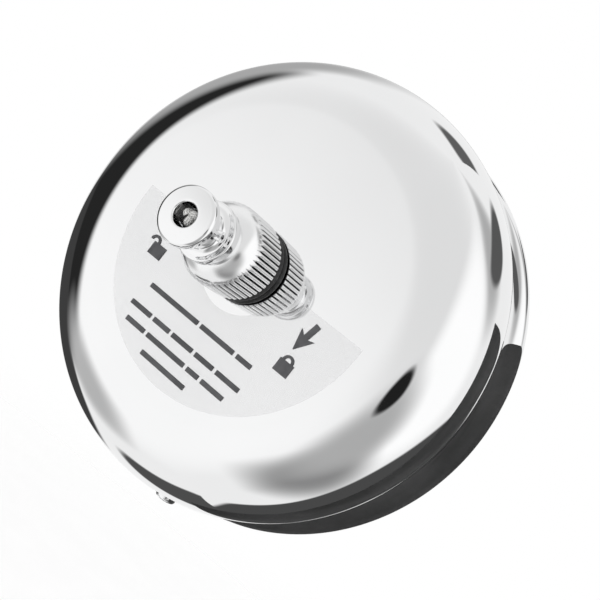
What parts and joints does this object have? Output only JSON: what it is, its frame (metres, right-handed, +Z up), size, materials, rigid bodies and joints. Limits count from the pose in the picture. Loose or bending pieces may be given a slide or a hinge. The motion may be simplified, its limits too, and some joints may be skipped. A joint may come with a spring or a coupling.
{
  "type": "retractable clothesline",
  "caption": "Round mirror-polished wall case with a sprung reel of line, a knurled lock ring on its face and a small grooved knob that pulls out with the line.",
  "frame": {"origin": "centre of the wall plate's back face, on the wall", "axes": "+Y into the wall, -Y out of the case's face along the line, +Z up, +X to the right of a person facing the case"},
  "size_m": [0.0864, 0.0577, 0.0888],
  "materials": {
    "case_chrome": "mirror-polished chrome plate on stamped steel",
    "knob_chrome": "polished chrome plate on turned brass",
    "bright_chrome": "bright plated screw",
    "zinc_steel": "zinc-plated steel",
    "frame_steel": "stamped steel sheet",
    "ground_steel": "ground steel",
    "spring_steel": "blued spring steel strip",
    "dark_screw": "black oxide",
    "bush_brass": "turned brass",
    "collet_brass": "hard brass",
    "natural_plastic": "natural acetal",
    "washer_fibre": "vulcanised fibre",
    "cushion_rubber": "matt black nitrile rubber",
    "line_white": "white braided polyester line",
    "label_film": "satin clear film",
    "label_ink": "dark grey printed ink"
  },
  "bodies": {
    "case": {"wall_plate": "zinc_steel", "plate_nut": "zinc_steel", "fixing_screw": "bright_chrome", "housing": "case_chrome", "dome_studs": "zinc_steel", "back_plate": "frame_steel", "spacer_posts": "zinc_steel", "guide_plate": "frame_steel", "frame_screws": "dark_screw", "reel_arbor": "ground_steel", "arbor_clip": "dark_screw", "rim_eyelet": "bush_brass", "line_lead": "line_white", "pulley_bracket": "frame_steel", "bracket_rivets": "zinc_steel", "pulley_pin": "ground_steel", "spindle": "bush_brass", "spindle_washer": "washer_fibre", "spindle_nut": "bush_brass", "cushion_ring": "cushion_rubber", "label_film": "label_film", "label_marks": "label_ink"},
    "reel": {"line_reel": "natural_plastic", "spring_cover": "frame_steel", "reel_bush": "bush_brass", "wound_line": "line_white", "power_spring": "spring_steel"},
    "pulley": {"guide_pulley": "natural_plastic"},
    "collet": {"lock_collet": "collet_brass", "thrust_washer": "ground_steel"},
    "ring": {"lock_ring": "knob_chrome"},
    "knob": {"pull_knob": "knob_chrome", "clamp_screw": "bright_chrome", "line_end": "line_white", "line_knot": "line_white"}
  },
  "joints": [
    {"name": "knob_pull", "type": "slide", "parent": "case", "child": "knob", "axis": [0, -1, 0], "range_m": [0, 2.4], "stiffness_N_per_m": 0.6, "springref_m": -5},
    {"name": "reel_spin", "type": "hinge", "parent": "case", "child": "reel", "pos_m": [0, 0, 0], "axis": [0, -1, 0], "range_deg": [0, 6396.6], "deforming": ["power_spring"]},
    {"name": "pulley_spin", "type": "hinge", "parent": "case", "child": "pulley", "pos_m": [0.0039, -0.0241, 0], "axis": [0, 0, 1], "range_deg": [0, 35259.9]},
    {"name": "lock_turn", "type": "hinge", "parent": "collet", "child": "ring", "pos_m": [0, -0.04, 0], "axis": [0, 1, 0], "range_deg": [0, 120]},
    {"name": "lock_feed", "type": "slide", "parent": "case", "child": "collet", "axis": [0, 1, 0], "range_m": [0, 0.00026]}
  ],
  "couplings": [
    {"joint": "reel_spin", "follows": "knob_pull", "rad_per_m": 46.51},
    {"joint": "pulley_spin", "follows": "knob_pull", "rad_per_m": 256.41},
    {"joint": "lock_feed", "follows": "lock_turn", "m_per_rad": 0.00011937}
  ]
}
